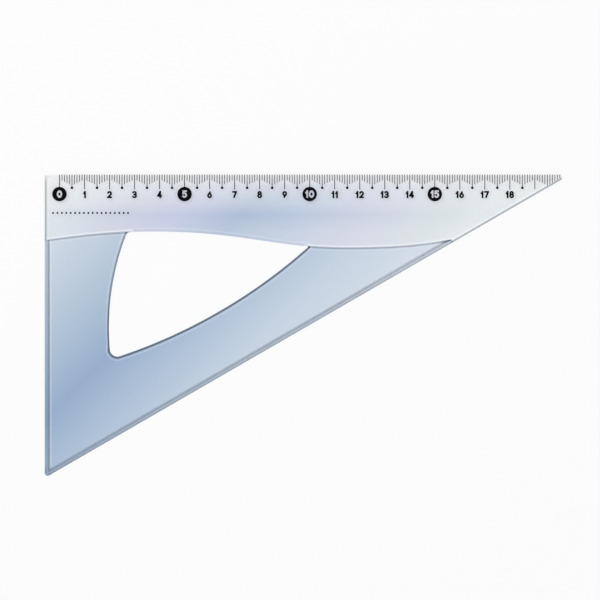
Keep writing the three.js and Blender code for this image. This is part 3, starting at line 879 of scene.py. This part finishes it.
# The dye's tint with the painted shade of the room, for band and body, then the edge lines' painted shade
# and painted highlight.
band_tint_and_shade = blended(graph, pale, tint_ramp(graph, across + depth, BAND_TINT_AND_SHADE), tint(*SCALE_TONE))
sheet_tint_and_shade = blended(graph, below, band_tint_and_shade, tint_ramp(graph, across + depth, BODY_TINT_AND_SHADE))
painted_edge_shade = blended(graph, shade.most(0.0), sheet_tint_and_shade, tint(*EDGE_SHADE_TONE))
painted_edge_glint = blended(graph, (shade * -1).most(0.0), painted_edge_shade, tint(*GLINT_TONE))
flow = graph.noise(place, FLOW_SCALE, 3.0)
skin = graph.noise(place, SKIN_SCALE, 2.0)
ripple = graph.node("ShaderNodeBump", {"Strength": SKIN_STRENGTH, "Distance": SKIN_DEPTH, "Height": skin})
clear = graph.node(
    "ShaderNodeBsdfPrincipled",
    {
        "Base Color": painted_edge_glint,
        "Roughness": flow * FLOW_ROUGHNESS + PLASTIC_ROUGHNESS,
        "IOR": PLASTIC_IOR,
        "Transmission Weight": 1.0,
        "Normal": ripple,
    },
)
bounces = graph.node("ShaderNodeLightPath", output="Ray Depth")
let_out = graph.node("ShaderNodeBsdfTransparent", {"Color": LET_OUT_LIGHT})
seen = graph.blend(bounces > MOST_BOUNCES, clear, let_out)
passing = graph.node("ShaderNodeBsdfTransparent", {"Color": PASSED_LIGHT})
from_lamp = graph.node("ShaderNodeLightPath", output="Is Shadow Ray")
from_paper = graph.node("ShaderNodeLightPath", output="Is Diffuse Ray")
mixed = graph.blend(from_lamp.most(from_paper), seen, passing)
graph.node("ShaderNodeOutputMaterial", {"Surface": mixed})
finish_piece(plate, plastic, "clear_plastic", "plate")
deepest = min((tone for _, *tone in BODY_TINT_AND_SHADE), key=sum)
print("the body's deepest tint is", [round(share, 2) for share in tint(*deepest)[:3]])

# %% [markdown]
# ## Black ink
# The scale is screen printed. Screen ink dries to a matt black film a few hundredths of a
# millimetre thick, a little uneven in depth and sheen where the mesh of the screen let more or
# less of it through. A fine noise drives its colour, its roughness and a faint bump.

# %% Mix the ink
MARK_SCALE = 2500.0
PATCH_SCALE = 160.0
MARK_SHARE = 0.6
INK_TONES = ((0.35, (0.001, 0.001, 0.0015, 1)), (0.7, (0.005, 0.005, 0.007, 1)))
INK_ROUGHNESS = 0.4
PATCH_ROUGHNESS = 0.25
INK_SHEEN = 0.03
GRAIN_STRENGTH = 0.2
GRAIN_DEPTH = 0.02 * MM

ink, graph = new_material("black_ink")
place = graph.node("ShaderNodeTexCoord", output="Object")
mark = graph.noise(place, MARK_SCALE, 2.0)
patch = graph.noise(place, PATCH_SCALE, 1.0)
depth_of_ink = mark * MARK_SHARE + patch * (1 - MARK_SHARE)
black = graph.node("ShaderNodeValToRGB", {"Fac": depth_of_ink}, {"stops": INK_TONES})
grain = graph.node("ShaderNodeBump", {"Strength": GRAIN_STRENGTH, "Distance": GRAIN_DEPTH, "Height": mark})
film = graph.node(
    "ShaderNodeBsdfPrincipled",
    {
        "Base Color": black,
        "Roughness": patch * PATCH_ROUGHNESS + INK_ROUGHNESS,
        "Specular IOR Level": INK_SHEEN,
        "Normal": grain,
    },
)
graph.node("ShaderNodeOutputMaterial", {"Surface": film})
print("materials:", [material.name for material in bpy.data.materials if material.users])

# %% [markdown]
# ## Rows of print
# The ticks and the dots repeat, so Geometry Nodes print them. Each tree starts from a line of
# points, puts a small shape on every point, makes the copies real, lays the row on the slope of
# the band and gives it the ink. Its sizes are inputs with names, so one tree for a row of dots
# serves both the dots that end the half centimetre ticks and the dotted line for a name.

# %% Helpers for a tree of print
INK_THICKNESS = 0.05
INK_GAP = 0.02
ink_to_frame = (
    plate_to_frame
    @ Matrix.Translation((0, 0, SCALE_EDGE + INK_GAP))
    @ Matrix.Rotation(-band_slope, 4, "X")
)


def new_print_graph(name, values):
    """A tree with an input for each of these values, for the band and for the ink, as terms."""
    tree = bpy.data.node_groups.new(name, "GeometryNodeTree")
    of_type = {int: "NodeSocketInt", float: "NodeSocketFloat"}
    kinds = {label: of_type[type(value)] for label, value in values.items()}
    kinds.update({"Origin": "NodeSocketVector", "Slope": "NodeSocketFloat", "Ink": "NodeSocketMaterial"})
    for label, kind in kinds.items():
        tree.interface.new_socket(name=label, in_out="INPUT", socket_type=kind)
    tree.interface.new_socket(name="Print", in_out="OUTPUT", socket_type="NodeSocketGeometry")
    graph = Graph(tree)
    return graph, {label: graph.node("NodeGroupInput", output=label) for label in kinds}


def point(graph, x, y, z):
    """A vector from three terms or numbers."""
    return graph.node("ShaderNodeCombineXYZ", {"X": x, "Y": y, "Z": z})


def print_row(graph, sizes, start, shape):
    """Puts a shape, with its scale if it has one, on every point of a row, and inks it on the band."""
    apart = point(graph, sizes["Pitch"], 0.0, 0.0)
    row = {"Count": sizes["Count"], "Start Location": start, "Offset": apart}
    copies = {"Points": graph.node("GeometryNodeMeshLine", row), **shape}
    real = {"Geometry": graph.node("GeometryNodeInstanceOnPoints", copies)}
    flat = {
        "Geometry": graph.node("GeometryNodeRealizeInstances", real),
        "Translation": sizes["Origin"],
        "Rotation": point(graph, sizes["Slope"] * -1, 0.0, 0.0),
        "Scale": (MM, MM, MM),
    }
    laid = graph.node("GeometryNodeTransform", flat)
    inked = graph.node("GeometryNodeSetMaterial", {"Geometry": laid, "Material": sizes["Ink"]})
    graph.node("NodeGroupOutput", {"Print": inked})


def printed(name, graph, values, *nodes):
    """Runs a tree of print with these inputs and keeps the result as a plain mesh."""
    piece = new_object(name, bpy.data.meshes.new(name))
    modifier = piece.modifiers.new("print", "NODES")
    modifier.node_group = graph.tree
    given = {**values, "Origin": ink_to_frame.translation, "Slope": band_slope, "Ink": ink}
    for item in graph.tree.interface.items_tree:
        if item.in_out == "INPUT":
            modifier[item.identifier] = given[item.name]
    evaluated = piece.evaluated_get(bpy.context.evaluated_depsgraph_get())
    piece.data = bpy.data.meshes.new_from_object(evaluated)
    piece.modifiers.clear()
    finish_piece(piece, ink, "ink", *nodes)
    print(name, "has", len(piece.data.polygons), "faces")


# %% Print the ticks
ZERO_INSET = 5.92
MILLIMETRE = 1.0
CENTIMETRE = 10.0
SHORTEST_TICK = 2.4
TICK_GROWTH = 0.48
HALF_TICK = 5.3
CENTIMETRE_TICK = 5.9
TICK_WIDTH = 0.27
CENTIMETRE_TICK_WIDTH = 0.3
HALF_DOT_RADIUS = 0.54
SCALE_INK_INSET = 0.05
PRINT_MARGIN = 0.7
ROUNDEL_RADIUS = 2.9
ROUNDEL_DEPTH = 7.8
ROUNDEL_EVERY = 5
DOT_OVERLAP = 0.03
HALF_STEP = 0.5

end_room = (PRINT_MARGIN + ACUTE_CORNER) / math.sin(TIP_ANGLE)
last_tick = math.floor((LONG_LEG - ZERO_INSET - end_room) / MILLIMETRE)
tick_values = {
    "Count": last_tick + 1, "Inset": ZERO_INSET, "Pitch": MILLIMETRE, "Shortest": SHORTEST_TICK,
    "Growth": TICK_GROWTH, "Half": HALF_TICK, "Centimetre": CENTIMETRE_TICK,
    "Roundel": ROUNDEL_DEPTH - ROUNDEL_RADIUS, "Width": TICK_WIDTH,
    "Centimetre Width": CENTIMETRE_TICK_WIDTH, "Dot": HALF_DOT_RADIUS, "Top": SCALE_INK_INSET,
    "Thickness": INK_THICKNESS, "Long Leg": LONG_LEG, "Fall": math.tan(TIP_ANGLE),
    "Margin": PRINT_MARGIN / math.cos(TIP_ANGLE),
}
graph, sizes = new_print_graph("scale_ticks", tick_values)
index = graph.node("GeometryNodeInputIndex")
place = index % CENTIMETRE
nearest = place.least(CENTIMETRE - place)
on_centimetre = nearest < HALF_STEP
on_half = nearest > CENTIMETRE / 2 - HALF_STEP
on_roundel = index % (ROUNDEL_EVERY * CENTIMETRE) < HALF_STEP
width = sizes["Width"].towards(sizes["Centimetre Width"], on_centimetre)
plain_reach = sizes["Shortest"] + sizes["Growth"] * (nearest - 1)
centimetre_reach = sizes["Centimetre"].towards(sizes["Roundel"], on_roundel)
reach = plain_reach.towards(centimetre_reach, on_centimetre).towards(sizes["Half"], on_half)
x = sizes["Inset"] + index * sizes["Pitch"]
room = (sizes["Long Leg"] - x - width / 2) * sizes["Fall"] - sizes["Margin"]
dotted = on_half * (room > sizes["Half"] + sizes["Dot"])
length = reach.least(room) - dotted * (sizes["Dot"] - DOT_OVERLAP) - sizes["Top"]
bar = graph.node("GeometryNodeMeshCube", {"Size": point(graph, 1.0, 1.0, sizes["Thickness"])})
drop = point(graph, 0.0, -0.5, sizes["Thickness"] / 2)
hung = graph.node("GeometryNodeTransform", {"Geometry": bar, "Translation": drop})
top_left = point(graph, sizes["Inset"], sizes["Top"] * -1, 0.0)
print_row(graph, sizes, top_left, {"Instance": hung, "Scale": point(graph, width, length, 1.0)})
printed("printed_scale_ticks", graph, tick_values, "scale_ticks")

# %% Print the rows of dots
NAME_DOT_COUNT = 18
NAME_DOT_PITCH = 1.763
NAME_DOT_RADIUS = 0.4
NAME_DOT_DEPTH = 15.35
NAME_DOT_INSET = 3.36
DOT_CORNERS = 20


def dot_values(count, first, pitch, depth, radius):
    """The inputs of a row of dots."""
    return {"Count": count, "Corners": DOT_CORNERS, "First": first, "Pitch": pitch, "Depth": depth,
            "Radius": radius, "Thickness": INK_THICKNESS}


half_dot_reach = HALF_TICK + HALF_DOT_RADIUS + PRINT_MARGIN / math.cos(TIP_ANGLE)
half_dot_room = LONG_LEG - ZERO_INSET - TICK_WIDTH / 2 - half_dot_reach / math.tan(TIP_ANGLE)
half_dots = dot_values(math.floor(half_dot_room / CENTIMETRE + 0.5), ZERO_INSET + CENTIMETRE / 2,
                       CENTIMETRE, HALF_TICK, HALF_DOT_RADIUS)
name_dots = dot_values(NAME_DOT_COUNT, NAME_DOT_INSET, NAME_DOT_PITCH, NAME_DOT_DEPTH, NAME_DOT_RADIUS)
graph, sizes = new_print_graph("row_of_dots", name_dots)
dot = graph.node(
    "GeometryNodeMeshCylinder",
    {"Vertices": sizes["Corners"], "Radius": sizes["Radius"], "Depth": sizes["Thickness"]},
)
first = point(graph, sizes["First"], sizes["Depth"] * -1, sizes["Thickness"] / 2)
print_row(graph, sizes, first, {"Instance": dot})
printed("printed_half_centimetre_dots", graph, half_dots, "scale_ticks")
printed("printed_name_line", graph, name_dots,
        *[name for name in frame["nodes"] if name.startswith("name_line_dot")])

# %% [markdown]
# ## Figures drawn with a pen
# The figures are a plain bold face of even strokes. A font would bring its own shapes, so each
# digit is drawn as a draughtsman would letter it: a few straight strokes and bows of a square
# pen. Places are shares of the box that the middle of the pen moves in. The strokes of a digit
# overlap, and the triangulation joins them: it keeps the triangles that lie in any stroke. A
# roundel is the same sum turned round, a disc less the strokes of its figure.

# %% Strokes of the figures
STROKE_SHARES = {
    "1": [("line", (1, 0), (1, 1)), ("line", (0.1, 0.74), (0.8, 0.93))],
    "2": [("bow", (0.5, 0.69, 0.5, 0.31), (155, -35), (0.14, 0.06)), ("line", (0, 0), (1, 0))],
    "3": [("bow", (0.45, 0.74, 0.5, 0.26), (140, -90)), ("bow", (0.45, 0.26, 0.55, 0.26), (90, -140))],
    "4": [("line", (0.72, 0), (0.72, 1)), ("line", (0, 0.27), (1, 0.27)),
          ("line", (0.62, 0.93), (0.08, 0.35))],
    "5": [("line", (0.12, 1), (0.95, 1)), ("line", (0.12, 0.95), (0.06, 0.6)),
          ("bow", (0.45, 0.33, 0.55, 0.33), (120, -140))],
    "6": [("ring", (0.5, 0.31, 0.5, 0.31)), ("bow", (0.5, 0.31, 0.5, 0.31), (180, 140), (0.62, 0.93))],
    "7": [("line", (0, 1), (1, 1)), ("line", (0.86, 0.84), (0.35, 0.04))],
    "8": [("ring", (0.5, 0.76, 0.42, 0.24)), ("ring", (0.5, 0.27, 0.5, 0.27))],
    "9": [("ring", (0.5, 0.69, 0.5, 0.31)), ("bow", (0.5, 0.69, 0.5, 0.31), (0, -40), (0.38, 0.07))],
}


def pen_stroke(points, pen):
    """The outline of a stroke, half a pen longer at both ends, and no hole."""
    start = points[0] - unit(points[1] - points[0]) * pen / 2
    end = points[-1] + unit(points[-1] - points[-2]) * pen / 2
    line = np.concatenate([[start], points, [end]])
    return np.concatenate([moved_left(line, -pen / 2), moved_left(line, pen / 2)[::-1]]), None


def figure_strokes(digit, corner, width, height, pen):
    """The strokes of a digit, its box's lower left at a corner, as outlines with their holes."""
    run = width - pen
    rise = height - pen

    def place(share):
        return corner + complex(pen / 2 + share[0] * run, pen / 2 + share[1] * rise)

    strokes = []
    for kind, box, *rest in STROKE_SHARES[digit]:
        if kind == "line":
            strokes.append(pen_stroke(np.array([place(box), place(rest[0])]), pen))
            continue
        centre = place(box)
        radii = box[2] * run, box[3] * rise
        if kind == "ring":
            outer = oval(centre, radii[0] + pen / 2, radii[1] + pen / 2)
            strokes.append((outer, oval(centre, radii[0] - pen / 2, radii[1] - pen / 2)))
            continue
        points = bow(centre, *radii, *map(math.radians, rest[0]))
        target = [place(rest[1])] if len(rest) > 1 else []
        strokes.append(pen_stroke(np.append(points, target), pen))
    return strokes


def cover(strokes):
    """The loops of strokes, and a test whether the loops round a place put it in a stroke."""
    loops, pairs = [], []
    for outer, hole in strokes:
        pairs.append((len(loops), None if hole is None else len(loops) + 1))
        loops.extend([outer] if hole is None else [outer, hole])
    return loops, lambda around: any(outer in around and hole not in around for outer, hole in pairs)


def film_of_ink(node, loops, keep):
    """A film of ink on the band, in place of a node."""
    points, triangles = triangulated(loops, [], keep)
    piece = slab(f"printed_{node}", points, triangles, 0.0, INK_THICKNESS, ink_to_frame)
    finish_piece(piece, ink, "ink", node)


def in_row(number, own_widths, width, gap):
    """The digits of a number with their left ends and widths, centred on zero."""
    widths = [own_widths.get(digit, width) for digit in str(number)]
    starts = np.cumsum([0, *[width + gap for width in widths[:-1]]])
    return list(zip(str(number), starts - (sum(widths) + gap * (len(widths) - 1)) / 2, widths))


print("drawn digits:", " ".join(STROKE_SHARES))

# %% Print the numerals
FIGURE_HEIGHT = 2.9
FIGURE_WIDTH = 1.95
ONE_WIDTH = 1.15
FIGURE_PEN = 0.72
FIGURE_GAP = 0.28
FIGURE_TOP_DEPTH = 6.55
LAST_FIGURE = 18

for number in range(1, LAST_FIGURE + 1):
    if number % ROUNDEL_EVERY == 0:
        continue
    row = in_row(number, {"1": ONE_WIDTH}, FIGURE_WIDTH, FIGURE_GAP)
    for count, (digit, start, width) in enumerate(row):
        node = f"numeral_{number}" + (f"_digit_{count + 1}" if len(row) > 1 else "")
        corner = complex(ZERO_INSET + number * CENTIMETRE + start, -FIGURE_TOP_DEPTH - FIGURE_HEIGHT)
        film_of_ink(node, *cover(figure_strokes(digit, corner, width, FIGURE_HEIGHT, FIGURE_PEN)))
print("numerals printed up to", LAST_FIGURE)

# %% Print the roundels
ROUNDEL_HEIGHT = 3.0
ROUNDEL_WIDTHS = {"0": 2.15, "1": 1.2}
ROUNDEL_FIGURE_WIDTH = 1.95
ROUNDEL_PEN = 0.68
COUNTER_WIDTH = 0.85
COUNTER_HEIGHT = 1.2


def zero_oval(start, width, height, middle):
    """An oval in the middle of a roundel's zero."""
    centre = middle + start + ROUNDEL_WIDTHS["0"] / 2
    return oval(centre, width / 2, height / 2)


for number in range(0, LAST_FIGURE, ROUNDEL_EVERY):
    middle = complex(ZERO_INSET + number * CENTIMETRE, -ROUNDEL_DEPTH)
    strokes = []
    for digit, start, width in in_row(number, ROUNDEL_WIDTHS, ROUNDEL_FIGURE_WIDTH, FIGURE_GAP):
        if digit == "0":
            strokes.append((zero_oval(start, width, ROUNDEL_HEIGHT, middle), None))
            spot = zero_oval(start, COUNTER_WIDTH, COUNTER_HEIGHT, middle)
            film_of_ink(f"zero_counter_{number}", [spot], lambda around: 0 in around)
        else:
            corner = middle + start - 0.5j * ROUNDEL_HEIGHT
            strokes += figure_strokes(digit, corner, width, ROUNDEL_HEIGHT, ROUNDEL_PEN)
    loops, opened = cover(strokes)
    disc = oval(middle, ROUNDEL_RADIUS, ROUNDEL_RADIUS)
    film_of_ink(f"roundel_{number}", [*loops, disc],
                lambda around: len(loops) in around and not opened(around))

# %% [markdown]
# ## Comparing the boxes
# The dressed part's box is compared with the imported one's, and how far their low and high
# corners lie apart is printed in millimetres. The dressed part has to stay inside the imported
# one.

# %% Compare the boxes and finish
visual_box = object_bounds()
growth = [round((packed - shown).length / MM, 3) for packed, shown in zip(cad_box, visual_box)]
print("the dressed part's box differs by", growth, "mm")
